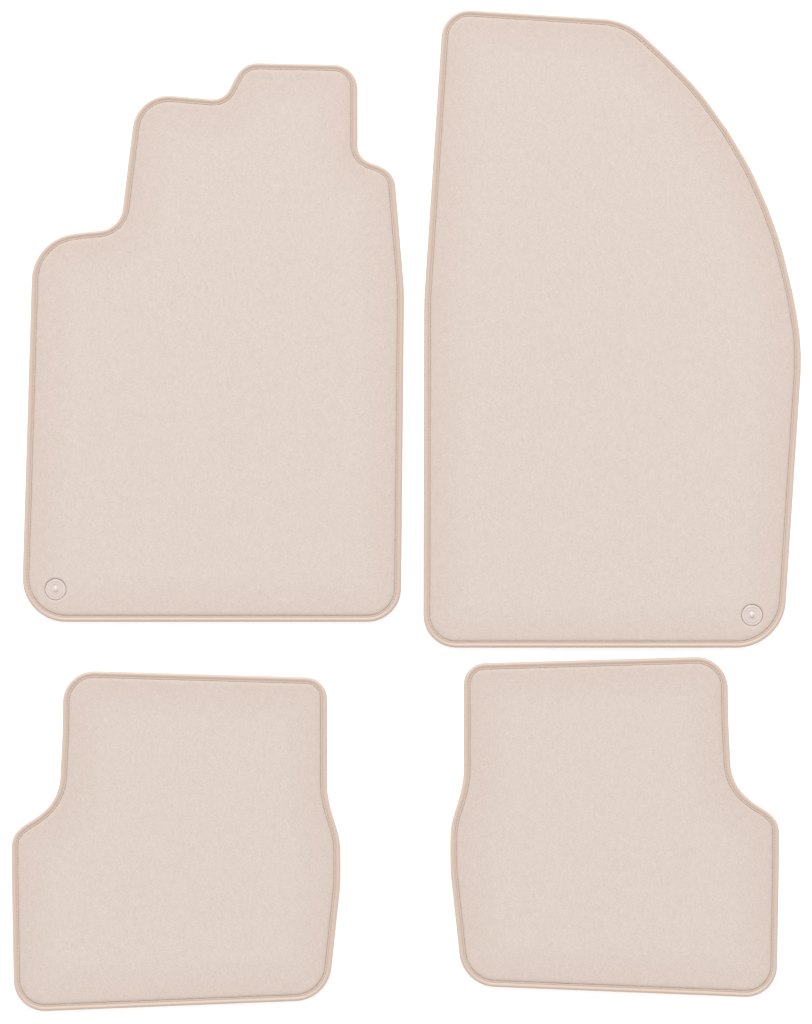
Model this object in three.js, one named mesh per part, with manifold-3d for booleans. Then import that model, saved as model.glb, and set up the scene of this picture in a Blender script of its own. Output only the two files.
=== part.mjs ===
// A set of four carpet floor mats for a vehicle, laid out flat: driver's, passenger's and two rear mats.
// Each mat is a velour carpet over a primary backing and an anti-slip backing. A leatherette tape is
// folded round the edge of all three and lockstitched through them. The front mats each carry a clip
// socket that holds them to a hook on the vehicle's floor.
// Millimetres, +Z up, +Y towards the toe ends. The origin is under the middle of the whole layout.

import * as THREE from 'three';
import { mergeVertices } from 'three/addons/utils/BufferGeometryUtils.js';
import Module from 'manifold-3d';

const wasm = await Module();
wasm.setup();

// Driver's mat: a footrest shoulder on the door side, and a tongue that runs up under the pedals.
const driver = {
  width: 456,
  length: 672,
  doorHeelRadius: 53,
  tunnelHeelRadius: 41,
  tunnelSwell: 4,
  tunnelSwellReach: 274,
  tunnelSwellRadius: 300,
  tongueEdge: 176,
  tongueWidth: 137,
  tongueReach: 114,
  tongueFall: 3,
  tongueRadius: 29,
  ledgeWidth: 44,
  ledgeFall: 17,
  ledgeRadius: 28,
  kneeReach: 45,
  kneeFlare: 24,
  kneeRadius: 22,
  stepWidth: 104,
  stepRise: 9,
  stepRadius: 44,
  shoulderReach: 199,
  shoulderLean: 20,
  shoulderFall: 12,
  shoulderInset: 14,
  shoulderRadius: 58,
  innerRadius: 30,
};

// Passenger's mat: plain sides, and a toe end that sweeps round towards the door.
const passenger = {
  width: 432,
  length: 768,
  tunnelHeelRadius: 40,
  doorHeelRadius: 60,
  doorSwell: 24,
  doorSwellReach: 398,
  doorSwellRadius: 320,
  sweep: [
    { fromDoor: 2, fromToe: 280, radius: 500 },
    { fromDoor: 36, fromToe: 193, radius: 480 },
    { fromDoor: 97, fromToe: 99, radius: 430 },
  ],
  toeFromDoor: 187,
  toeFall: 14,
  toeDoorRadius: 82,
  toeTunnelRadius: 34,
  toeLean: 24,
  tunnelBendInset: 1,
  tunnelBendReach: 350,
  tunnelBendRadius: 400,
};

// Rear mat, as it lies on the left: a notch at the door-side toe, for the pillar and the seat's foot.
const rear = {
  width: 395,
  length: 411,
  heelSlope: 15,
  doorHeelRadius: 38,
  doorHeelLean: 3,
  tunnelHeelRadius: 45,
  tunnelHeelLean: 15,
  tunnelLowReach: 257,
  tunnelLowRadius: 160,
  tunnelHighReach: 205,
  tunnelHighRadius: 100,
  waistReach: 151,
  waistInset: 16,
  waistRadius: 85,
  toeFall: 9,
  toeTunnelRadius: 26,
  toeDoorRadius: 38,
  notchWidth: 62,
  notchBendInset: 1,
  notchBendReach: 77,
  notchBendRadius: 200,
  notchFlare: 5,
  notchFootReach: 158,
  notchFootRadius: 60,
  notchShelfReach: 196.5,
  notchShelfRadius: 29,
  doorBendReach: 244,
  doorBendRadius: 400,
};

// Gaps and offsets of the layout, measured from the line between the two front mats.
const frontGap = 23;
const passengerSetBack = 31;
const rearLeftFromLine = 88;
const rearRightFromLine = 44;
const rearLeftGap = 58;
const rearRightGap = 10;

// Layers, from the floor up.
const clearance = 0.3;
const tapeThickness = 1.2;
const tapeWall = 1.5;
const flangeSink = 0.8;
const backingThickness = 0.8;
const primaryThickness = 0.5;
const pressedPile = 1.5;
const pileHeight = 4.2;
const pileShoulder = 1;

// Edge binding and its seam, measured in from the mat's edge.
const bindingWidth = 7.6;
const rollWidth = 4;
const rollChamfer = 1.8;
const seamInset = 5.7;
const threadWidth = 0.6;

// Clip socket: a cap pressed down through the mat, held from below by a ring on its turned lip.
const capRadius = 12.5;
const capThickness = 1.6;
const capGrooveRadii = [6, 9.2];
const capGrooveWidth = 0.8;
const capGrooveDepth = 0.4;
const nubRadius = 3.75;
const nubHeight = 1.8;
const shankRadius = 7;
const socketRadius = 4.2;
const socketRoof = 1;
const lipWidth = 1;
const lipThickness = 0.7;
const ringRadius = 11.4;
const ringThickness = 1.9;
const clipFromHeel = 39;
const driverClipFromDoor = 41.5;
const passengerClipFromDoor = 37.2;

const chordError = 0.9;
const clipSides = 20;
const nubSteps = 3;
const overshoot = 5;

// Heights that follow from the layers.
const lowerFlangeTop = flangeSink + tapeThickness;
const backingRimBase = lowerFlangeTop + clearance;
const backingTop = backingRimBase + backingThickness;
const primaryBase = backingTop + clearance;
const primaryTop = primaryBase + primaryThickness;
const pileBase = primaryTop + clearance;
const pressedTop = pileBase + pressedPile;
const pileTop = pileBase + pileHeight;
const upperFlangeBase = pressedTop + clearance;
const upperFlangeTop = upperFlangeBase + tapeThickness;
const threadBase = upperFlangeTop + clearance;
const rollHeight = upperFlangeTop + flangeSink;
const layerInset = tapeWall + clearance;
const fieldInset = bindingWidth + clearance;

// Where two straight edges of an outline would meet, and the radius that rounds them.
function corner(x, y, radius) {
  return { at: new THREE.Vector2(x, y), radius };
}

function driverCorners() {
  const door = -driver.width / 2;
  const tunnel = driver.width / 2;
  const swell = driver.length - driver.tunnelSwellReach;
  const ledge = driver.length - driver.tongueReach;
  const tongueDoor = driver.tongueEdge - driver.tongueWidth;
  const knee = driver.length - driver.kneeReach;
  const stepDoor = tongueDoor - driver.kneeFlare - driver.stepWidth;
  const shoulder = driver.length - driver.shoulderReach;
  return [
    corner(door, 0, driver.doorHeelRadius),
    corner(tunnel, 0, driver.tunnelHeelRadius),
    corner(tunnel + driver.tunnelSwell, swell, driver.tunnelSwellRadius),
    corner(driver.tongueEdge + driver.ledgeWidth, ledge - driver.ledgeFall, driver.ledgeRadius),
    corner(driver.tongueEdge, ledge, driver.kneeRadius),
    corner(driver.tongueEdge, driver.length - driver.tongueFall, driver.tongueRadius),
    corner(tongueDoor, driver.length, driver.tongueRadius),
    corner(tongueDoor - driver.kneeFlare, knee, driver.kneeRadius),
    corner(stepDoor, knee + driver.stepRise, driver.stepRadius),
    corner(stepDoor - driver.shoulderLean, shoulder, driver.innerRadius),
    corner(door + driver.shoulderInset, shoulder - driver.shoulderFall, driver.shoulderRadius),
  ];
}

function passengerCorners() {
  const tunnel = -passenger.width / 2;
  const door = passenger.width / 2;
  const toe = passenger.length;
  return [
    corner(tunnel, 0, passenger.tunnelHeelRadius),
    corner(door, 0, passenger.doorHeelRadius),
    corner(door + passenger.doorSwell, toe - passenger.doorSwellReach, passenger.doorSwellRadius),
    ...passenger.sweep.map(({ fromDoor, fromToe, radius }) => corner(door - fromDoor, toe - fromToe, radius)),
    corner(door - passenger.toeFromDoor, toe - passenger.toeFall, passenger.toeDoorRadius),
    corner(tunnel + passenger.toeLean, toe, passenger.toeTunnelRadius),
    corner(tunnel + passenger.tunnelBendInset, toe - passenger.tunnelBendReach, passenger.tunnelBendRadius),
  ];
}

function rearCorners() {
  const door = -rear.width / 2;
  const tunnel = rear.width / 2;
  const notch = door + rear.notchWidth;
  const waist = tunnel - rear.waistInset;
  const toe = rear.length;
  return [
    corner(door + rear.doorHeelLean, 0, rear.doorHeelRadius),
    corner(tunnel - rear.tunnelHeelLean, rear.heelSlope, rear.tunnelHeelRadius),
    corner(tunnel, toe - rear.tunnelLowReach, rear.tunnelLowRadius),
    corner(tunnel, toe - rear.tunnelHighReach, rear.tunnelHighRadius),
    corner(waist, toe - rear.waistReach, rear.waistRadius),
    corner(waist, toe - rear.toeFall, rear.toeTunnelRadius),
    corner(notch, toe, rear.toeDoorRadius),
    corner(notch - rear.notchBendInset, toe - rear.notchBendReach, rear.notchBendRadius),
    corner(notch - rear.notchFlare, toe - rear.notchFootReach, rear.notchFootRadius),
    corner(door, toe - rear.notchShelfReach, rear.notchShelfRadius),
    corner(door, toe - rear.doorBendReach, rear.doorBendRadius),
  ];
}

// The same outline turned over left for right, still running anticlockwise.
function mirrored(corners) {
  return corners.map(({ at, radius }) => corner(-at.x, at.y, radius)).reverse();
}

// How an outline turns at each corner. Where two neighbouring fillets would meet, both give way.
function bends(corners) {
  const turns = corners.map(({ at, radius }, i) => {
    const arriving = at.clone().sub(corners.at(i - 1).at).normalize();
    const edge = corners[(i + 1) % corners.length].at.clone().sub(at);
    const turn = Math.atan2(arriving.cross(edge), arriving.dot(edge));
    return { at, radius, arriving, turn, room: edge.length(), reach: radius * Math.tan(Math.abs(turn) / 2) };
  });
  const shares = turns.map(({ room, reach }, i) => room / (reach + turns[(i + 1) % turns.length].reach));
  return turns.map((bend, i) => {
    const share = Math.min(1, shares[i], shares.at(i - 1));
    return { ...bend, radius: bend.radius * share, reach: bend.reach * share };
  });
}

// Points of an outline moved in from its edge. Each corner is an arc between its two straight edges.
function outline(corners, inset) {
  return bends(corners).flatMap(({ at, radius, arriving, turn, reach }) => {
    const side = Math.sign(turn) || 1;
    const inward = new THREE.Vector2(-arriving.y, arriving.x);
    const centre = at.clone().addScaledVector(arriving, -reach).addScaledVector(inward, radius * side);
    const start = Math.atan2(-inward.y * side, -inward.x * side);
    const steps = Math.ceil(Math.abs(turn) / (2 * Math.acos(1 - chordError / radius)));
    return Array.from({ length: steps + 1 }, (_, k) => {
      const angle = start + (turn * k) / steps;
      const arm = radius - side * inset;
      return new THREE.Vector2(centre.x + arm * Math.cos(angle), centre.y + arm * Math.sin(angle));
    });
  });
}

// A closed three.js geometry as a solid that can be joined and cut.
function solid(geometry) {
  geometry.deleteAttribute('normal');
  geometry.deleteAttribute('uv');
  const welded = mergeVertices(geometry, 1e-4);
  const corners = welded.index.array;
  const faces = [];
  for (let i = 0; i < corners.length; i += 3) {
    const [a, b, c] = corners.slice(i, i + 3);
    if (a !== b && b !== c && c !== a) faces.push(a, b, c);
  }
  return new wasm.Manifold(new wasm.Mesh({
    numProp: 3,
    vertProperties: new Float32Array(welded.attributes.position.array),
    triVerts: new Uint32Array(faces),
  }));
}

// A flat layer of the mat's outline between two heights, with chamfered edges if asked for.
function layer(corners, inset, low, high, chamfer = 0) {
  const geometry = new THREE.ExtrudeGeometry(new THREE.Shape(outline(corners, inset)), {
    depth: high - low - 2 * chamfer,
    bevelEnabled: chamfer > 0,
    bevelThickness: chamfer,
    bevelSize: chamfer,
    bevelOffset: -chamfer,
    bevelSegments: 1,
  });
  return solid(geometry.translate(0, 0, low + chamfer));
}

function turned(profile) {
  const points = profile.map(([radius, height]) => new THREE.Vector2(radius, height));
  return solid(new THREE.LatheGeometry(points, clipSides).rotateX(Math.PI / 2));
}

function hole(at, radius, low, high) {
  const geometry = new THREE.CylinderGeometry(radius, radius, high - low, clipSides);
  return solid(geometry.rotateX(Math.PI / 2).translate(at.x, at.y, (low + high) / 2));
}

function piece(name, shape, color, roughness) {
  const { vertProperties, triVerts } = shape.getMesh();
  const geometry = new THREE.BufferGeometry();
  geometry.setAttribute('position', new THREE.BufferAttribute(vertProperties, 3));
  geometry.setIndex(new THREE.BufferAttribute(triVerts, 1));
  const material = new THREE.MeshStandardMaterial({ color, roughness, metalness: 0 });
  const mesh = new THREE.Mesh(geometry, material);
  mesh.name = name;
  return mesh;
}

// Leatherette tape: a roll round the edge, and a flange above and below that the seam draws in.
function edgeBinding(corners) {
  return layer(corners, 0, 0, rollHeight, rollChamfer)
    .subtract(layer(corners, tapeWall, lowerFlangeTop, upperFlangeBase))
    .subtract(layer(corners, bindingWidth, -overshoot, rollHeight + overshoot))
    .subtract(layer(corners, rollWidth, upperFlangeTop, rollHeight + overshoot))
    .subtract(layer(corners, rollWidth, -overshoot, flangeSink));
}

// One of the seam's two threads, lying along the tape between two heights.
function seamThread(corners, low, high) {
  return layer(corners, seamInset - threadWidth / 2, low, high)
    .subtract(layer(corners, seamInset + threadWidth / 2, low - overshoot, high + overshoot));
}

// Velour pile: pressed flat inside the binding and under the clip's cap, and standing free elsewhere.
function pileCarpet(corners, clip) {
  const carpet = layer(corners, layerInset, pileBase, pressedTop)
    .add(layer(corners, fieldInset, pileBase, pileTop, pileShoulder));
  if (!clip) return carpet;
  return carpet
    .subtract(hole(clip, shankRadius + clearance, pileBase - overshoot, pileTop + overshoot))
    .subtract(hole(clip, capRadius + clearance, pressedTop, pileTop + overshoot));
}

function primaryBacking(corners, clip) {
  const sheet = layer(corners, layerInset, primaryBase, primaryTop);
  if (!clip) return sheet;
  return sheet.subtract(hole(clip, shankRadius + clearance, primaryBase - overshoot, primaryTop + overshoot));
}

// Anti-slip backing: thin inside the binding, and down to the floor within it.
function antislipBacking(corners, clip) {
  const sheet = layer(corners, layerInset, backingRimBase, backingTop)
    .add(layer(corners, fieldInset, 0, backingTop));
  if (!clip) return sheet;
  return sheet
    .subtract(hole(clip, shankRadius + clearance, -overshoot, backingTop + overshoot))
    .subtract(hole(clip, ringRadius + clearance, -overshoot, ringThickness + clearance));
}

// Cap of the clip: a grooved disc with a domed nub, on a hollow shank that is open to the floor.
function clipCap() {
  const underside = pressedTop + clearance;
  const top = underside + capThickness;
  const dome = Array.from({ length: nubSteps }, (_, k) => {
    const angle = (Math.PI / 2) * (1 - k / nubSteps);
    return [nubRadius * Math.cos(angle), top + nubHeight * Math.sin(angle)];
  });
  const grooves = capGrooveRadii.flatMap((radius) => [
    [radius - capGrooveWidth, top],
    [radius - capGrooveWidth / 2, top - capGrooveDepth],
    [radius, top],
  ]);
  const lip = shankRadius + lipWidth;
  return turned([
    ...dome,
    [nubRadius, top],
    ...grooves,
    [capRadius - capGrooveDepth, top],
    [capRadius, top - capGrooveDepth],
    [capRadius, underside],
    [shankRadius, underside],
    [shankRadius, lipThickness],
    [lip, lipThickness],
    [lip, 0],
    [socketRadius, 0],
    [socketRadius, top - socketRoof],
    [0, top - socketRoof],
  ].reverse());
}

// Ring of the clip: pulled up against the backing, and cut away underneath for the cap's lip.
function clipRing() {
  const bore = shankRadius + clearance;
  const lipRoom = shankRadius + lipWidth + clearance;
  return turned([
    [bore, lipThickness + clearance],
    [lipRoom, lipThickness + clearance],
    [lipRoom, 0],
    [ringRadius, 0],
    [ringRadius, ringThickness],
    [bore, ringThickness],
    [bore, lipThickness + clearance],
  ]);
}

function mat(name, corners, place, clip) {
  const group = new THREE.Group();
  group.position.copy(place);
  group.add(
    piece(`${name}_pile_carpet`, pileCarpet(corners, clip), 0xddcfc4, 1),
    piece(`${name}_primary_backing`, primaryBacking(corners, clip), 0xe6ddd0, 0.95),
    piece(`${name}_antislip_backing`, antislipBacking(corners, clip), 0x3a3735, 0.85),
    piece(`${name}_edge_binding`, edgeBinding(corners), 0xe3d6c8, 0.6),
    piece(`${name}_needle_thread`, seamThread(corners, threadBase, rollHeight), 0xdccdbd, 0.7),
    piece(`${name}_bobbin_thread`, seamThread(corners, 0, flangeSink - clearance), 0xdccdbd, 0.7),
  );
  if (clip) {
    const cap = piece(`${name}_clip_cap`, clipCap(), 0xd8d0c6, 0.45);
    const ring = piece(`${name}_clip_ring`, clipRing(), 0xd8d0c6, 0.5);
    cap.position.set(clip.x, clip.y, 0);
    ring.position.set(clip.x, clip.y, 0);
    group.add(cap, ring);
  }
  return group;
}

const driverClip = new THREE.Vector2(-driver.width / 2 + driverClipFromDoor, clipFromHeel);
const passengerClip = new THREE.Vector2(passenger.width / 2 - passengerClipFromDoor, clipFromHeel);
const driverPlace = new THREE.Vector3(-(frontGap + driver.width) / 2 - driver.tunnelSwell, 0, 0);
const passengerPlace = new THREE.Vector3((frontGap + passenger.width) / 2, -passengerSetBack, 0);
const rearLeftX = -rearLeftFromLine - rear.width / 2;
const rearLeftY = -rearLeftGap - rear.length;
const rearRightX = rearRightFromLine + rear.width / 2;
const rearRightY = -passengerSetBack - rearRightGap - rear.length;

const set = new THREE.Group();
set.add(
  mat('driver_mat', driverCorners(), driverPlace, driverClip),
  mat('passenger_mat', passengerCorners(), passengerPlace, passengerClip),
  mat('rear_left_mat', rearCorners(), new THREE.Vector3(rearLeftX, rearLeftY, 0)),
  mat('rear_right_mat', mirrored(rearCorners()), new THREE.Vector3(rearRightX, rearRightY, 0)),
);

// The layout's middle goes over the origin.
set.updateMatrixWorld(true);
const middle = new THREE.Box3().setFromObject(set, true).getCenter(new THREE.Vector3());
set.position.set(-middle.x, -middle.y, 0);

export default set;
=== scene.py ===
import math

import bpy
import numpy as np
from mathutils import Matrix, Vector, kdtree, noise
from mathutils.geometry import delaunay_2d_cdt


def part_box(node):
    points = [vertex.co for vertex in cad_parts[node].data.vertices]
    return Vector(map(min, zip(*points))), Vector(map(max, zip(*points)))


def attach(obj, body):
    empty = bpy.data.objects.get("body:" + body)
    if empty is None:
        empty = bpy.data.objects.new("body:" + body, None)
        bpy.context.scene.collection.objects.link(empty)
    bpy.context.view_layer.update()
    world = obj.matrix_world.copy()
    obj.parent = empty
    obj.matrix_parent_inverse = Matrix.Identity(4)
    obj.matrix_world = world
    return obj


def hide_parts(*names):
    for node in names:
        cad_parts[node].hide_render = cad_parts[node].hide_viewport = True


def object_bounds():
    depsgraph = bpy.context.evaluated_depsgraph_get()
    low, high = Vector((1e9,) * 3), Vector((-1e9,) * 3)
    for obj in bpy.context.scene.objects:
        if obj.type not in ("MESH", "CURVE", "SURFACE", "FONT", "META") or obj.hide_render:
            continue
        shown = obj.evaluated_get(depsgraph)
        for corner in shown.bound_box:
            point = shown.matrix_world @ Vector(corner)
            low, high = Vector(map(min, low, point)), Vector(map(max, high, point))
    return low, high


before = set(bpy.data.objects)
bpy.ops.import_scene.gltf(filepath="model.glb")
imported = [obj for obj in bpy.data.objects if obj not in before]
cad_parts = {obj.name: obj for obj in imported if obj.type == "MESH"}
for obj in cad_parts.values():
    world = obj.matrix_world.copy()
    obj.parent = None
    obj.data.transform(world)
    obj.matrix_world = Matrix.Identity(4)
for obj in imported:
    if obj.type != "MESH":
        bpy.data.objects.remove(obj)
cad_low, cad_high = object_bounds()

# Camera. It hangs over the middle of the four mats and looks straight down at the floor through a
# long lens, so the sides of the mats hardly show.
lens_mm = 120
sensor_mm = 36
floor_seen = 1.2288
hang_height = cad_high.z + floor_seen * lens_mm / sensor_mm
bpy.ops.object.camera_add(location=(0, -0.0017, hang_height), rotation=(0, 0, 0))
camera = bpy.context.object
camera.data.lens = lens_mm
camera.data.sensor_width = sensor_mm
bpy.context.scene.camera = camera

# Studio. A white floor under even white light, with one large soft lamp beyond the toe ends.
bpy.ops.mesh.primitive_plane_add(size=80, location=(0, 0, -0.0002))
floor = bpy.context.object
floor.name = "studio_floor"
floor_paint = bpy.data.materials.new("white floor")
floor_paint.use_nodes = True
floor_shader = floor_paint.node_tree.nodes["Principled BSDF"]
floor_shader.inputs["Base Color"].default_value = (0.93, 0.93, 0.93, 1)
floor_shader.inputs["Roughness"].default_value = 0.9
floor_shader.inputs["Specular IOR Level"].default_value = 0.1
floor_shader.inputs["Emission Color"].default_value = (1, 1, 1, 1)
floor_shader.inputs["Emission Strength"].default_value = 0.31
floor.data.materials.append(floor_paint)

room = bpy.data.worlds.new("white room")
room.use_nodes = True
room.node_tree.nodes["Background"].inputs["Color"].default_value = (1, 1, 1, 1)
room.node_tree.nodes["Background"].inputs["Strength"].default_value = 0.82
bpy.context.scene.world = room

bpy.ops.object.light_add(type="AREA", location=(-1.8, 16.5, 15))
lamp = bpy.context.object
lamp.rotation_euler = (Vector((0, 0, 0)) - lamp.location).to_track_quat("-Z", "Y").to_euler()
lamp.data.shape = "DISK"
lamp.data.size = 9.75
lamp.data.energy = 3600
bpy.context.scene.view_settings.view_transform = "Standard"


# Edge tape. A strip of cream leatherette is folded over the cut edge of each mat and sewn down. It
# stands up in a round roll outside the seam, and lies flat inside it. One stitch length of tape is
# modelled, with its needle hole, and repeated along the seam.
MATS = ("driver_mat", "passenger_mat", "rear_left_mat", "rear_right_mat")
SEAM_INSET = 0.0057
STITCH_LENGTH = 0.004
HOLE_DEPTH = 0.0007
EDGE_STEP = 0.002
STRAIGHT_ENOUGH = math.radians(0.3)
SMOOTHINGS = 40
# Inset from the mat's edge and height, in millimetres, round the tape from its upper inner lip.
TAPE_SECTION = (
    (7.6, 6.2), (7.65, 6.75), (7.3, 7.05), (6.6, 7.12), (6.1, 7.03), (5.7, 6.88), (5.3, 7.03),
    (4.7, 7.3), (4.0, 7.65), (3.3, 7.92), (2.6, 8.0), (1.75, 7.8), (1.0, 7.2), (0.4, 6.3), (0.05, 5.1),
    (0.0, 3.6), (0.25, 2.1), (0.8, 0.9), (1.7, 0.15), (2.6, 0.0), (3.5, 0.4), (4.5, 0.8), (5.7, 0.95),
    (7.4, 0.9), (7.6, 1.5), (7.4, 1.9), (3.2, 1.9), (1.6, 2.9), (1.5, 5.1), (3.2, 5.95), (7.4, 6.0),
)
TAPE_COLUMNS = (0.0, 0.2, 0.8)


def cut_edge(mat):
    """The closed line that a mat was cut to, anticlockwise: its tape's outer wall, made smooth."""
    bpy.ops.object.select_all(action="DESELECT")
    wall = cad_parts[mat + "_edge_binding"].copy()
    wall.data = wall.data.copy()
    bpy.context.collection.objects.link(wall)
    wall.select_set(True)
    bpy.context.view_layer.objects.active = wall
    half_height = (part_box(mat + "_edge_binding")[1].z) / 2
    bpy.ops.object.mode_set(mode="EDIT")
    bpy.ops.mesh.select_all(action="SELECT")
    bpy.ops.mesh.remove_doubles(threshold=0.00001)
    bpy.ops.mesh.bisect(plane_co=(0, 0, half_height), plane_no=(0, 0, 1), clear_inner=True, clear_outer=True)
    bpy.ops.object.mode_set(mode="OBJECT")
    bpy.ops.object.convert(target="CURVE")
    loop = max(bpy.context.object.data.splines, key=lambda spline: spline.calc_length())
    corners = np.array([point.co[:2] for point in loop.points])
    bpy.data.objects.remove(bpy.context.object)

    onward = np.roll(corners, -1, 0) - corners
    if (corners[:, 0] * onward[:, 1] - corners[:, 1] * onward[:, 0]).sum() < 0:
        corners = corners[::-1]
        onward = np.roll(corners, -1, 0) - corners
    heading = np.arctan2(onward[:, 1], onward[:, 0])
    turn = (heading - np.roll(heading, 1) + math.pi) % (2 * math.pi) - math.pi
    corners = corners[abs(turn) > STRAIGHT_ENOUGH]
    # Each bend's corners are joined by curves that leave and arrive along the outline.
    onward = np.roll(corners, -1, 0) - corners
    length = np.linalg.norm(onward, axis=1)[:, None]
    back, back_length = np.roll(onward, 1, 0), np.roll(length, 1, 0)
    aim = np.where(length > 2 * back_length, onward, np.where(back_length > 2 * length, back, onward + back))
    aim /= np.linalg.norm(aim, axis=1)[:, None]
    start, end = corners, np.roll(corners, -1, 0)
    leave, arrive = start + aim * length / 3, end - np.roll(aim, -1, 0) * length / 3
    share = np.linspace(0, 1, 24, endpoint=False)[None, :, None]
    start, leave, arrive, end = (points[:, None, :] for points in (start, leave, arrive, end))
    smooth = (
        start * (1 - share) ** 3 + 3 * leave * share * (1 - share) ** 2
        + 3 * arrive * share ** 2 * (1 - share) + end * share ** 3
    ).reshape(-1, 2)
    smooth = np.r_[smooth, smooth[:1]]
    along = np.r_[0, np.cumsum(np.linalg.norm(np.diff(smooth, axis=0), axis=1))]
    places = np.linspace(0, along[-1], round(along[-1] / EDGE_STEP), endpoint=False)
    line = np.c_[np.interp(places, along, smooth[:, 0]), np.interp(places, along, smooth[:, 1])]
    for smoothing in range(SMOOTHINGS):
        for pull in (0.5, -0.52):
            line = line + pull * ((np.roll(line, 1, 0) + np.roll(line, -1, 0)) / 2 - line)
    return line


def inset(line, depth):
    """A closed anticlockwise line, moved into the mat by depth."""
    along = sum(np.roll(line, -reach, 0) - np.roll(line, reach, 0) for reach in (1, 2, 3))
    along /= np.linalg.norm(along, axis=1)[:, None]
    return line + depth * np.c_[-along[:, 1], along[:, 0]]


def seam_curve(mat):
    """The seam's line as a closed curve, for the tape and the stitches to follow."""
    line = inset(edges[mat], SEAM_INSET)
    curve = bpy.data.curves.new(mat + "_seam", "CURVE")
    curve.dimensions = "2D"
    spline = curve.splines.new("POLY")
    spline.points.add(len(line) - 1)
    spline.points.foreach_set("co", np.c_[line, np.zeros(len(line)), np.ones(len(line))].ravel())
    spline.use_cyclic_u = True
    path = bpy.data.objects.new(mat + "_seam", curve)
    bpy.context.collection.objects.link(path)
    return path


def run_along(piece, mat, merge):
    """Repeats one stitch length of a piece all round a mat's seam."""
    path = seam_curve(mat)
    row = piece.modifiers.new("row", "ARRAY")
    row.count = stitches[mat]
    row.use_relative_offset = False
    row.use_constant_offset = True
    row.constant_offset_displace = (pitch[mat], 0, 0)
    row.use_merge_vertices = merge
    row.merge_threshold = 0.00001
    bend = piece.modifiers.new("seam", "CURVE")
    bend.object = path
    bpy.ops.object.select_all(action="DESELECT")
    piece.select_set(True)
    bpy.context.view_layer.objects.active = piece
    bpy.ops.object.modifier_apply(modifier="row")
    bpy.ops.object.modifier_apply(modifier="seam")
    bpy.data.objects.remove(path)


edges = {mat: cut_edge(mat) for mat in MATS}
seams = {mat: inset(line, SEAM_INSET) for mat, line in edges.items()}
seam_length = {
    mat: np.linalg.norm(np.diff(line, axis=0, append=line[:1]), axis=1).sum()
    for mat, line in seams.items()
}
stitches = {mat: round(length / STITCH_LENGTH) for mat, length in seam_length.items()}
pitch = {mat: seam_length[mat] / stitches[mat] for mat in MATS}

leatherette = bpy.data.materials.new("cream leatherette")
leatherette.use_nodes = True
nodes, links = leatherette.node_tree.nodes, leatherette.node_tree.links
shader = nodes["Principled BSDF"]
shader.inputs["Roughness"].default_value = 0.46
shader.inputs["Specular IOR Level"].default_value = 0.3
place = nodes.new("ShaderNodeTexCoord")
grain = nodes.new("ShaderNodeTexVoronoi")
grain.inputs["Scale"].default_value = 1700
links.new(place.outputs["Object"], grain.inputs["Vector"])
soft = nodes.new("ShaderNodeTexNoise")
soft.inputs["Scale"].default_value = 700
soft.inputs["Detail"].default_value = 4
links.new(place.outputs["Object"], soft.inputs["Vector"])
tint = nodes.new("ShaderNodeValToRGB")
tint.color_ramp.elements[0].position = 0.3
tint.color_ramp.elements[0].color = (0.552, 0.437, 0.368, 1)
tint.color_ramp.elements[1].position = 0.7
tint.color_ramp.elements[1].color = (0.588, 0.469, 0.399, 1)
links.new(soft.outputs["Fac"], tint.inputs["Fac"])
links.new(tint.outputs["Color"], shader.inputs["Base Color"])
bump = nodes.new("ShaderNodeBump")
bump.inputs["Strength"].default_value = 0.26
bump.inputs["Distance"].default_value = 0.00012
links.new(grain.outputs["Distance"], bump.inputs["Height"])
links.new(bump.outputs["Normal"], shader.inputs["Normal"])

for mat in MATS:
    bpy.ops.object.select_all(action="DESELECT")
    bpy.ops.mesh.primitive_circle_add(vertices=len(TAPE_SECTION), radius=0.01)
    tape = bpy.context.object
    tape.name = mat + "_tape"
    for vertex, (depth, height) in zip(tape.data.vertices, TAPE_SECTION):
        vertex.co = (0, SEAM_INSET - depth / 1000, height / 1000)
    bpy.ops.object.mode_set(mode="EDIT")
    for before, after in zip(TAPE_COLUMNS, TAPE_COLUMNS[1:] + (1.0,)):
        bpy.ops.mesh.extrude_region_move(
            TRANSFORM_OT_translate={"value": ((after - before) * pitch[mat], 0, 0)})
    bpy.ops.object.mode_set(mode="OBJECT")
    for vertex in tape.data.vertices:
        x, y, z = vertex.co
        if min(x, pitch[mat] - x) < 0.0001 and abs(y) < 0.0005 and not 0.0015 < z < 0.0065:
            sunk = HOLE_DEPTH if abs(y) < 0.0002 else HOLE_DEPTH / 5
            vertex.co.z -= math.copysign(sunk, z - 0.004)
    run_along(tape, mat, merge=True)
    bpy.ops.object.mode_set(mode="EDIT")
    bpy.ops.mesh.select_all(action="SELECT")
    bpy.ops.mesh.remove_doubles(threshold=0.00003)
    bpy.ops.mesh.normals_make_consistent(inside=False)
    bpy.ops.object.mode_set(mode="OBJECT")
    bpy.ops.object.shade_smooth_by_angle(angle=math.radians(60))
    tape.data.materials.append(leatherette)
    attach(tape, mat)
    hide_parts(mat + "_edge_binding")


# Seam threads. The needle thread shows as a row of short stitches on top, each dipping into a needle
# hole at both ends, and the bobbin thread as the same row underneath. Both are bonded thread in the
# tape's own colour.
THREAD_RADIUS = 0.00031
STITCH_SHARE = 0.8

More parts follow.
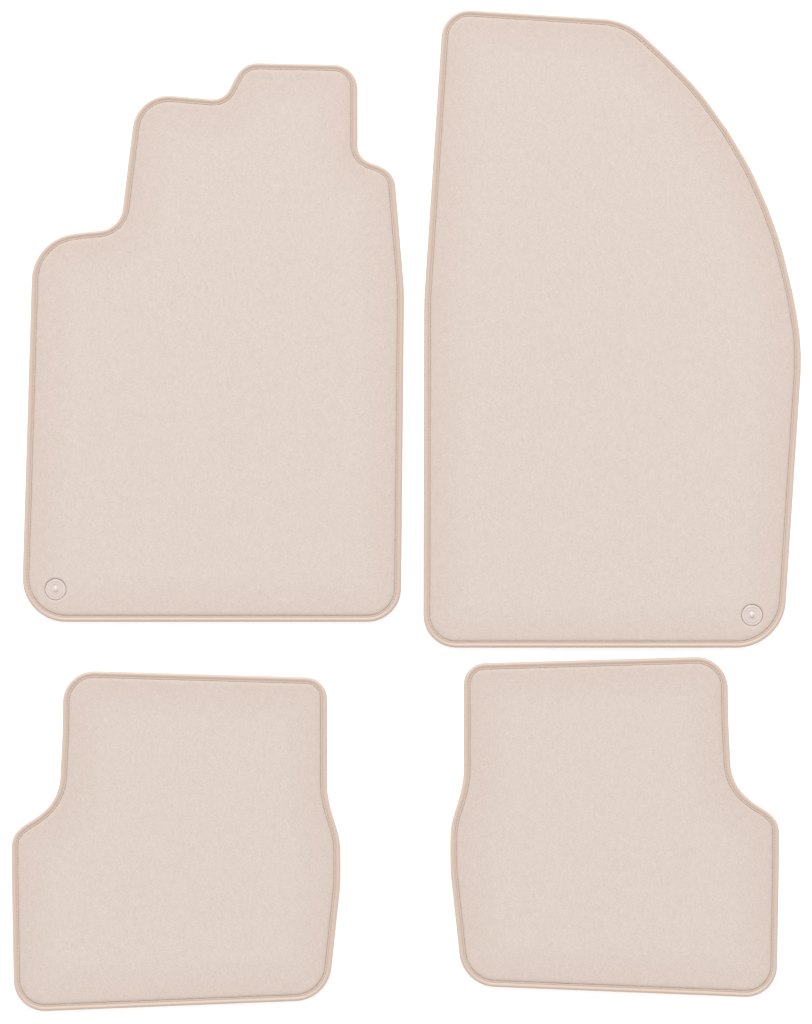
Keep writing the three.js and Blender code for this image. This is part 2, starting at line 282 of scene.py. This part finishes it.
thread_finish = bpy.data.materials.new("cream bonded thread")
thread_finish.use_nodes = True
nodes, links = thread_finish.node_tree.nodes, thread_finish.node_tree.links
shader = nodes["Principled BSDF"]
shader.inputs["Roughness"].default_value = 0.6
shader.inputs["Base Color"].default_value = (0.555, 0.44, 0.365, 1)
shader.inputs["Sheen Weight"].default_value = 0.3
place = nodes.new("ShaderNodeTexCoord")
ply = nodes.new("ShaderNodeTexWave")
ply.bands_direction = "DIAGONAL"
ply.inputs["Scale"].default_value = 3
links.new(place.outputs["UV"], ply.inputs["Vector"])
bump = nodes.new("ShaderNodeBump")
bump.inputs["Strength"].default_value = 0.5
bump.inputs["Distance"].default_value = 0.0001
links.new(ply.outputs["Fac"], bump.inputs["Height"])
links.new(bump.outputs["Normal"], shader.inputs["Normal"])

threads = {}
for mat in MATS:
    threads[mat] = []
    for row, height, out in (("needle_thread", 0.00712, 1), ("bobbin_thread", 0.00078, -1)):
        bpy.ops.object.select_all(action="DESELECT")
        bpy.ops.mesh.primitive_uv_sphere_add(segments=8, ring_count=6, radius=1, rotation=(0, math.pi / 2, 0))
        stitch = bpy.context.object
        stitch.name = mat + "_" + row.replace("thread", "stitches")
        bpy.ops.object.transform_apply(rotation=True)
        half = pitch[mat] * STITCH_SHARE / 2
        for vertex in stitch.data.vertices:
            x, y, z = vertex.co
            dip = 0.00035 * x ** 4
            vertex.co = (
                pitch[mat] / 2 + half * x,
                THREAD_RADIUS * y + 0.05 * half * x,
                height + THREAD_RADIUS * 0.9 * z - out * dip,
            )
        run_along(stitch, mat, merge=False)
        bpy.ops.object.mode_set(mode="EDIT")
        bpy.ops.mesh.select_all(action="SELECT")
        bpy.ops.mesh.normals_make_consistent(inside=False)
        bpy.ops.object.mode_set(mode="OBJECT")
        bpy.ops.object.shade_smooth()
        stitch.data.materials.append(thread_finish)
        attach(stitch, mat)
        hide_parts(mat + "_" + row)
        threads[mat].append(stitch)


# Anti-slip backing. A charcoal rubber layer with blunt nubs, which keep the mat from sliding on the
# car's carpet. It is thin under the tape, which is sewn through it, and holed for the clip.
RUBBER_EDGE = ((8.2, 1.4), (8.0, 1.6), (7.9, 2.2), (7.5, 2.3), (2.1, 2.3), (2.1, 3.1))
RUBBER_ROUND_CLIP = ((12.0, 1.4), (12.0, 2.4), (7.5, 2.4), (7.5, 3.1))
LAYER_INSET = 0.0021


def clip_centre(mat):
    """The middle of a mat's clip, seen from above."""
    low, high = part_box(mat + "_clip_cap")
    return np.array(((low.x + high.x) / 2, (low.y + high.y) / 2))


def rings_of(mat, edge_profile, clip_profile):
    """The lines of a layer, as (line, height): in from the mat's edge, and out from its clip."""
    outside = [(inset(edges[mat], depth / 1000), height / 1000) for depth, height in edge_profile]
    round_clip = []
    if mat + "_clip_cap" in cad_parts:
        turn = np.arange(64) * 2 * math.pi / 64
        circle = np.c_[np.cos(turn), np.sin(turn)]
        round_clip = [(clip_centre(mat) + circle * r / 1000, height / 1000) for r, height in clip_profile]
    return [outside] + ([round_clip] if round_clip else [])


def fill_between(points, rims, step, height):
    """Triangles between closed rims, lists of places in points, with new points about a step apart."""
    rim = [i for ring in rims for i in ring]
    tree = kdtree.KDTree(len(rim))
    for i in rim:
        tree.insert((points[i][0], points[i][1], 0), i)
    tree.balance()
    flat = np.array([points[i][:2] for i in rim])
    low, high = flat.min(0), flat.max(0)
    scatter = np.random.default_rng(7)
    inner = []
    for row, y in enumerate(np.arange(low[1], high[1], step * 0.866)):
        for x in np.arange(low[0] + (row % 2) * step / 2, high[0], step):
            if tree.find((x, y, 0))[2] > step * 0.62:
                inner.append((x, y))
    inner = np.array(inner).reshape(-1, 2)
    for ring in rims[1:]:
        opening_line = np.array([points[i][:2] for i in ring])
        middle = opening_line.mean(0)
        reach = np.linalg.norm(opening_line[0] - middle)
        inner = inner[np.linalg.norm(inner - middle, axis=1) > reach]
    inner += scatter.uniform(-0.1, 0.1, inner.shape) * step
    borders = []
    for ring in rims:
        first = len(borders)
        borders += [(first + k, first + (k + 1) % len(ring)) for k in range(len(ring))]
    every = [Vector(place) for place in np.r_[flat, inner]]
    spots, _, tiles, origins, _, _ = delaunay_2d_cdt(every, borders, [], 2, 1e-7)
    made, faces = {}, []
    opening = set(rims[1]) if len(rims) > 1 else set()
    for tile in tiles:
        for spot in tile:
            if spot not in made:
                old = [i for i in origins[spot] if i < len(rim)]
                if not old:
                    points.append((*spots[spot], height))
                made[spot] = rim[old[0]] if old else len(points) - 1
        face = [made[spot] for spot in tile]
        if not opening.issuperset(face):
            faces.append(face)
    return faces


def layer_mesh(name, groups, top_step, base_step):
    """A closed layer from groups of (line, height), each from the underside round to the top."""
    points, faces, lowest, highest = [], [], [], []
    for group in groups:
        before = None
        for line, height in group:
            ring = range(len(points), len(points) + len(line))
            points += [(x, y, height) for x, y in line]
            if before:
                faces += [(before[k], before[k - 1], ring[k - 1], ring[k]) for k in range(len(ring))]
            else:
                lowest.append(ring)
            before = ring
        highest.append(before)
    faces += fill_between(points, highest, top_step, groups[0][-1][1])
    faces += fill_between(points, lowest, base_step, groups[0][0][1])
    mesh = bpy.data.meshes.new(name)
    mesh.from_pydata(points, [], faces)
    layer = bpy.data.objects.new(name, mesh)
    bpy.context.collection.objects.link(layer)
    return layer


def face_outwards(piece):
    """Turns every face of a closed piece outwards."""
    bpy.ops.object.select_all(action="DESELECT")
    piece.select_set(True)
    bpy.context.view_layer.objects.active = piece
    bpy.ops.object.mode_set(mode="EDIT")
    bpy.ops.mesh.select_all(action="SELECT")
    bpy.ops.mesh.normals_make_consistent(inside=False)
    bpy.ops.object.mode_set(mode="OBJECT")


def lay_sheet(mat):
    """Works out the mat's cut edge moved in by LAYER_INSET, and does nothing with it."""
    line = inset(edges[mat], LAYER_INSET)

rubber = bpy.data.materials.new("charcoal rubber")
rubber.use_nodes = True
nodes, links = rubber.node_tree.nodes, rubber.node_tree.links
shader = nodes["Principled BSDF"]
shader.inputs["Specular IOR Level"].default_value = 0.35
place = nodes.new("ShaderNodeTexCoord")
dust = nodes.new("ShaderNodeTexNoise")
dust.inputs["Scale"].default_value = 60
dust.inputs["Detail"].default_value = 6
links.new(place.outputs["Object"], dust.inputs["Vector"])
pebble = nodes.new("ShaderNodeTexVoronoi")
pebble.inputs["Scale"].default_value = 900
links.new(place.outputs["Object"], pebble.inputs["Vector"])
tint = nodes.new("ShaderNodeValToRGB")
tint.color_ramp.elements[0].position = 0.3
tint.color_ramp.elements[0].color = (0.020, 0.019, 0.018, 1)
tint.color_ramp.elements[1].position = 0.75
tint.color_ramp.elements[1].color = (0.045, 0.043, 0.041, 1)
links.new(dust.outputs["Fac"], tint.inputs["Fac"])
links.new(tint.outputs["Color"], shader.inputs["Base Color"])
matt = nodes.new("ShaderNodeMapRange")
matt.inputs["To Min"].default_value = 0.55
matt.inputs["To Max"].default_value = 0.8
links.new(dust.outputs["Fac"], matt.inputs["Value"])
links.new(matt.outputs["Result"], shader.inputs["Roughness"])
bump = nodes.new("ShaderNodeBump")
bump.inputs["Strength"].default_value = 0.4
bump.inputs["Distance"].default_value = 0.00015
links.new(pebble.outputs["Distance"], bump.inputs["Height"])
links.new(bump.outputs["Normal"], shader.inputs["Normal"])

for mat in MATS:
    groups = rings_of(mat, RUBBER_EDGE, RUBBER_ROUND_CLIP)
    rubber_sheet = layer_mesh(mat + "_rubber_sheet", groups, 0.012, 0.012)
    face_outwards(rubber_sheet)
    rubber_sheet.data.materials.append(rubber)
    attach(rubber_sheet, mat)
    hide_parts(mat + "_antislip_backing")

NUB_PITCH = 0.010
NUB_SIDES = 8
NUB_EDGE_MARGIN = 0.0115
NUB_CLIP_MARGIN = 0.0165

bpy.ops.object.select_all(action="DESELECT")
bpy.ops.mesh.primitive_cone_add(
    vertices=NUB_SIDES, radius1=0.0011, radius2=0.0015, depth=0.0014, location=(0, 0, 0.0009))
nub = bpy.context.object
bpy.ops.object.transform_apply(location=True)
bpy.ops.object.mode_set(mode="EDIT")
bpy.ops.mesh.select_all(action="DESELECT")
bpy.ops.object.mode_set(mode="OBJECT")
for face in nub.data.polygons:
    face.select = face.normal.z < -0.9
bpy.ops.object.mode_set(mode="EDIT")
bpy.ops.mesh.extrude_region_move(TRANSFORM_OT_translate={"value": (0, 0, -0.0002)})
bpy.ops.transform.resize(value=(0.7, 0.7, 1))
bpy.ops.object.mode_set(mode="OBJECT")
nub_points = np.array([vertex.co for vertex in nub.data.vertices])
nub_faces = [list(face.vertices) for face in nub.data.polygons]
bpy.data.objects.remove(nub)


def inside(places, line):
    """Which of many places lie inside a closed line."""
    x, y = places[:, :1], places[:, 1:]
    start, end = line, np.roll(line, -1, 0)
    crosses = (start[:, 1] > y) != (end[:, 1] > y)
    reach = (end[:, 0] - start[:, 0]) * (y - start[:, 1]) / (end[:, 1] - start[:, 1] + 1e-12) + start[:, 0]
    return (crosses & (x < reach)).sum(1) % 2 == 1


for mat in MATS:
    low, high = edges[mat].min(0), edges[mat].max(0)
    rows = np.arange(low[1], high[1], NUB_PITCH * 0.866)
    places = np.array([
        (x + (row % 2) * NUB_PITCH / 2, y)
        for row, y in enumerate(rows) for x in np.arange(low[0], high[0], NUB_PITCH)
    ])
    places = places[inside(places, inset(edges[mat], NUB_EDGE_MARGIN))]
    if mat + "_clip_cap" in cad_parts:
        places = places[np.linalg.norm(places - clip_centre(mat), axis=1) > NUB_CLIP_MARGIN]
    points = np.concatenate([nub_points + (x, y, 0) for x, y in places])
    faces = [[i + n * len(nub_points) for i in face] for n in range(len(places)) for face in nub_faces]
    mesh = bpy.data.meshes.new(mat + "_grip_nubs")
    mesh.from_pydata(points.tolist(), [], faces)
    grip = bpy.data.objects.new(mat + "_grip_nubs", mesh)
    bpy.context.collection.objects.link(grip)
    grip.data.materials.append(rubber)
    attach(grip, mat)
    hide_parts(mat + "_antislip_backing")
    lay_sheet(mat)


# Primary backing. A thin woven cloth that the pile is tufted through, between the pile and the
# rubber. The tape hides its edge all round.
WEAVE_EDGE = ((2.1, 3.4), (2.1, 3.9))
WEAVE_ROUND_CLIP = ((7.5, 3.4), (7.5, 3.9))

weave = bpy.data.materials.new("woven backing cloth")
weave.use_nodes = True
nodes, links = weave.node_tree.nodes, weave.node_tree.links
shader = nodes["Principled BSDF"]
shader.inputs["Roughness"].default_value = 0.85
place = nodes.new("ShaderNodeTexCoord")
warp = nodes.new("ShaderNodeTexWave")
warp.bands_direction = "X"
warp.inputs["Scale"].default_value = 140
links.new(place.outputs["Object"], warp.inputs["Vector"])
weft = nodes.new("ShaderNodeTexWave")
weft.bands_direction = "Y"
weft.inputs["Scale"].default_value = 140
links.new(place.outputs["Object"], weft.inputs["Vector"])
crossed = nodes.new("ShaderNodeMath")
crossed.operation = "MAXIMUM"
links.new(warp.outputs["Fac"], crossed.inputs[0])
links.new(weft.outputs["Fac"], crossed.inputs[1])
tint = nodes.new("ShaderNodeValToRGB")
tint.color_ramp.elements[0].color = (0.22, 0.18, 0.15, 1)
tint.color_ramp.elements[1].color = (0.62, 0.54, 0.46, 1)
links.new(crossed.outputs["Value"], tint.inputs["Fac"])
links.new(tint.outputs["Color"], shader.inputs["Base Color"])
bump = nodes.new("ShaderNodeBump")
bump.inputs["Distance"].default_value = 0.0002
links.new(crossed.outputs["Value"], bump.inputs["Height"])
links.new(bump.outputs["Normal"], shader.inputs["Normal"])

for mat in MATS:
    cloth = layer_mesh(mat + "_woven_cloth", rings_of(mat, WEAVE_EDGE, WEAVE_ROUND_CLIP), 0.012, 0.012)
    face_outwards(cloth)
    cloth.data.materials.append(weave)
    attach(cloth, mat)
    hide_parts(mat + "_primary_backing")
    lay_sheet(mat)


# Velour pile. Dense short cut pile, beige, pressed flat where the tape and the clip hold it and
# standing up in a soft round shoulder beside them. It is one sheet, with the nap's unevenness.
PILE_STEP = 0.0025
# Inset and height, in millimetres, from under the tape up on to the open pile.
PILE_SHOULDER = (
    (2.1, 4.2), (2.1, 5.55), (6.6, 5.6), (7.5, 5.75), (7.8, 6.5), (7.9, 7.15), (8.3, 7.6), (9.1, 7.95),
    (10.4, 8.22), (12.2, 8.4),
)
# Distance from the clip's middle and height, from the shank up on to the open pile.
PILE_ROUND_CLIP = (
    (7.5, 4.2), (7.5, 5.6), (12.2, 5.6), (12.65, 5.9), (12.8, 6.8), (13.1, 7.6), (13.7, 8.1),
    (14.6, 8.35), (15.6, 8.4),
)

velour = bpy.data.materials.new("beige velour")
velour.use_nodes = True
nodes, links = velour.node_tree.nodes, velour.node_tree.links
shader = nodes["Principled BSDF"]
shader.inputs["Roughness"].default_value = 0.95
shader.inputs["Specular IOR Level"].default_value = 0.1
shader.inputs["Sheen Weight"].default_value = 0.35
shader.inputs["Sheen Roughness"].default_value = 0.45
shader.inputs["Sheen Tint"].default_value = (1, 0.95, 0.9, 1)
place = nodes.new("ShaderNodeTexCoord")
brushed = nodes.new("ShaderNodeMapping")
brushed.inputs["Scale"].default_value = (1, 0.62, 1)
brushed.inputs["Rotation"].default_value = (0, 0, 0.5)
links.new(place.outputs["Object"], brushed.inputs["Vector"])
combed = nodes.new("ShaderNodeMapping")
combed.inputs["Scale"].default_value = (1, 0.4, 0.6)
combed.inputs["Rotation"].default_value = (0, 0, 0.35)
links.new(place.outputs["Object"], combed.inputs["Vector"])
fibres = nodes.new("ShaderNodeTexNoise")
fibres.inputs["Scale"].default_value = 2100
fibres.inputs["Detail"].default_value = 3
fibres.inputs["Roughness"].default_value = 0.65
links.new(combed.outputs["Vector"], fibres.inputs["Vector"])
patches = nodes.new("ShaderNodeTexNoise")
patches.inputs["Scale"].default_value = 210
patches.inputs["Detail"].default_value = 4
patches.inputs["Roughness"].default_value = 0.62
links.new(brushed.outputs["Vector"], patches.inputs["Vector"])
patch_tint = nodes.new("ShaderNodeValToRGB")
patch_tint.color_ramp.elements[0].position = 0.28
patch_tint.color_ramp.elements[0].color = (0.632, 0.544, 0.497, 1)
patch_tint.color_ramp.elements[1].position = 0.72
patch_tint.color_ramp.elements[1].color = (0.659, 0.575, 0.532, 1)
links.new(patches.outputs["Fac"], patch_tint.inputs["Fac"])
fibre_tint = nodes.new("ShaderNodeValToRGB")
fibre_tint.color_ramp.elements[0].position = 0.3
fibre_tint.color_ramp.elements[0].color = (0.80, 0.785, 0.77, 1)
fibre_tint.color_ramp.elements[1].position = 0.7
fibre_tint.color_ramp.elements[1].color = (1.06, 1.06, 1.06, 1)
links.new(fibres.outputs["Fac"], fibre_tint.inputs["Fac"])
tinted = nodes.new("ShaderNodeMix")
tinted.data_type = "RGBA"
tinted.blend_type = "MULTIPLY"
tinted.inputs["Factor"].default_value = 1
links.new(patch_tint.outputs["Color"], tinted.inputs["A"])
links.new(fibre_tint.outputs["Color"], tinted.inputs["B"])
# Painted shade: the pile's colour is made darker and browner towards the mat's edge, fading out over
# EDGE_FADE.
edge_way = nodes.new("ShaderNodeAttribute")
edge_way.attribute_name = "from_edge"
painted_edge_shade = nodes.new("ShaderNodeValToRGB")
painted_edge_shade.color_ramp.elements[0].position = 0.0
painted_edge_shade.color_ramp.elements[0].color = (0.93, 0.89, 0.85, 1)
painted_edge_shade.color_ramp.elements[1].position = 1.0
painted_edge_shade.color_ramp.elements[1].color = (1, 1, 1, 1)
middle = painted_edge_shade.color_ramp.elements.new(0.25)
middle.color = (0.97, 0.945, 0.925, 1)
links.new(edge_way.outputs["Fac"], painted_edge_shade.inputs["Fac"])
shaded = nodes.new("ShaderNodeMix")
shaded.data_type = "RGBA"
shaded.blend_type = "MULTIPLY"
shaded.inputs["Factor"].default_value = 1
links.new(tinted.outputs["Result"], shaded.inputs["A"])
links.new(painted_edge_shade.outputs["Color"], shaded.inputs["B"])
links.new(shaded.outputs["Result"], shader.inputs["Base Color"])
tuft_bump = nodes.new("ShaderNodeBump")
tuft_bump.inputs["Strength"].default_value = 0.3
tuft_bump.inputs["Distance"].default_value = 0.0006
links.new(patches.outputs["Fac"], tuft_bump.inputs["Height"])
fibre_bump = nodes.new("ShaderNodeBump")
fibre_bump.inputs["Strength"].default_value = 0.9
fibre_bump.inputs["Distance"].default_value = 0.0003
links.new(fibres.outputs["Fac"], fibre_bump.inputs["Height"])
links.new(tuft_bump.outputs["Normal"], fibre_bump.inputs["Normal"])
links.new(fibre_bump.outputs["Normal"], shader.inputs["Normal"])

# How far in from the mat's edge the painted shade on the pile fades out.
EDGE_FADE = 0.055
for mat in MATS:
    groups = rings_of(mat, PILE_SHOULDER, PILE_ROUND_CLIP)
    pile = layer_mesh(mat + "_velour", groups, PILE_STEP, 0.012)
    edge_tree = kdtree.KDTree(len(edges[mat]))
    for i, (x, y) in enumerate(edges[mat]):
        edge_tree.insert((x, y, 0), i)
    edge_tree.balance()
    fray = np.random.default_rng(11)
    from_edge = pile.data.attributes.new("from_edge", "FLOAT", "POINT")
    fades = []
    for vertex in pile.data.vertices:
        x, y, z = vertex.co
        fades.append(min(edge_tree.find((x, y, 0))[2] / EDGE_FADE, 1))
        if z > 0.0063:
            broad = noise.noise((x * 22, y * 17, 3))
            tufts = noise.noise((x * 130 + 7, y * 95, 11))
            fine = noise.noise((x * 420, y * 330, 29))
            vertex.co.z = z + 0.00008 * broad + 0.00008 * tufts + 0.00006 * fine - 0.00012
        if 0.0063 < z < 0.0081:
            vertex.co.x = x + fray.uniform(-0.0002, 0.0002)
            vertex.co.y = y + fray.uniform(-0.0002, 0.0002)
            vertex.co.z += fray.uniform(-0.00015, 0.00015)
    from_edge.data.foreach_set("value", fades)
    face_outwards(pile)
    bpy.ops.object.shade_smooth_by_angle(angle=math.radians(60))
    pile.data.materials.append(velour)
    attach(pile, mat)
    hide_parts(mat + "_pile_carpet")
    lay_sheet(mat)


# Clips. A round moulded cap is pushed down through the heel corner of each front mat, and a ring
# holds it from below. The cap has two turned grooves and a small domed knob; the mat is pressed down
# round it.
CAP_SECTION = (
    (0.0, 9.4), (0.9, 9.31), (1.8, 9.02), (2.5, 8.6), (3.1, 8.1), (3.5, 7.68), (4.0, 7.5),
    (5.6, 7.55), (5.7, 7.2), (6.3, 7.2), (6.4, 7.6), (8.8, 7.6), (8.9, 7.2), (9.5, 7.2), (9.6, 7.6),
    (11.7, 7.6), (12.2, 7.4), (12.5, 6.9), (12.5, 6.3), (12.2, 6.0), (7.0, 6.0), (7.0, 1.1),
    (8.0, 0.85), (8.0, 0.45), (7.2, 0.2), (4.2, 0.2), (4.2, 6.6), (0.0, 6.6),
)
RING_SECTION = (
    (8.4, 0.0), (10.9, 0.0), (11.4, 0.5), (11.4, 1.5), (11.0, 1.9), (7.3, 1.9), (7.3, 1.0), (8.4, 1.0),
)

moulded = bpy.data.materials.new("moulded beige plastic")
moulded.use_nodes = True
nodes, links = moulded.node_tree.nodes, moulded.node_tree.links
shader = nodes["Principled BSDF"]
shader.inputs["Roughness"].default_value = 0.3
shader.inputs["Coat Weight"].default_value = 0.5
shader.inputs["Coat Roughness"].default_value = 0.12
place = nodes.new("ShaderNodeTexCoord")
spark = nodes.new("ShaderNodeTexNoise")
spark.inputs["Scale"].default_value = 1800
spark.inputs["Detail"].default_value = 2
links.new(place.outputs["Object"], spark.inputs["Vector"])
cloud = nodes.new("ShaderNodeTexNoise")
cloud.inputs["Scale"].default_value = 90
links.new(place.outputs["Object"], cloud.inputs["Vector"])
tint = nodes.new("ShaderNodeValToRGB")
tint.color_ramp.elements[0].color = (0.585, 0.49, 0.453, 1)
tint.color_ramp.elements[1].color = (0.648, 0.549, 0.512, 1)
links.new(cloud.outputs["Fac"], tint.inputs["Fac"])
links.new(tint.outputs["Color"], shader.inputs["Base Color"])
bump = nodes.new("ShaderNodeBump")
bump.inputs["Strength"].default_value = 0.2
bump.inputs["Distance"].default_value = 0.0001
links.new(spark.outputs["Fac"], bump.inputs["Height"])
links.new(bump.outputs["Normal"], shader.inputs["Normal"])

for mat in ("driver_mat", "passenger_mat"):
    x, y = clip_centre(mat)
    for part, section in (("clip_cap", CAP_SECTION), ("clip_ring", RING_SECTION)):
        bpy.ops.object.select_all(action="DESELECT")
        bpy.ops.mesh.primitive_circle_add(vertices=len(section), radius=0.01)
        turned = bpy.context.object
        turned.name = mat + "_" + part.replace("clip", "fastener")
        for vertex, (radius, height) in zip(turned.data.vertices, section):
            vertex.co = (x + radius / 1000, y, height / 1000)
        bpy.ops.object.mode_set(mode="EDIT")
        bpy.ops.mesh.select_all(action="SELECT")
        bpy.ops.mesh.spin(steps=64, angle=2 * math.pi, center=(x, y, 0), axis=(0, 0, 1))
        bpy.ops.mesh.select_all(action="SELECT")
        bpy.ops.mesh.remove_doubles(threshold=0.00001)
        bpy.ops.mesh.delete_loose()
        bpy.ops.mesh.select_all(action="SELECT")
        bpy.ops.mesh.normals_make_consistent(inside=False)
        bpy.ops.object.mode_set(mode="OBJECT")
        bpy.ops.object.shade_smooth_by_angle(angle=math.radians(35))
        turned.data.materials.append(moulded)
        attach(turned, mat)
        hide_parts(mat + "_" + part)
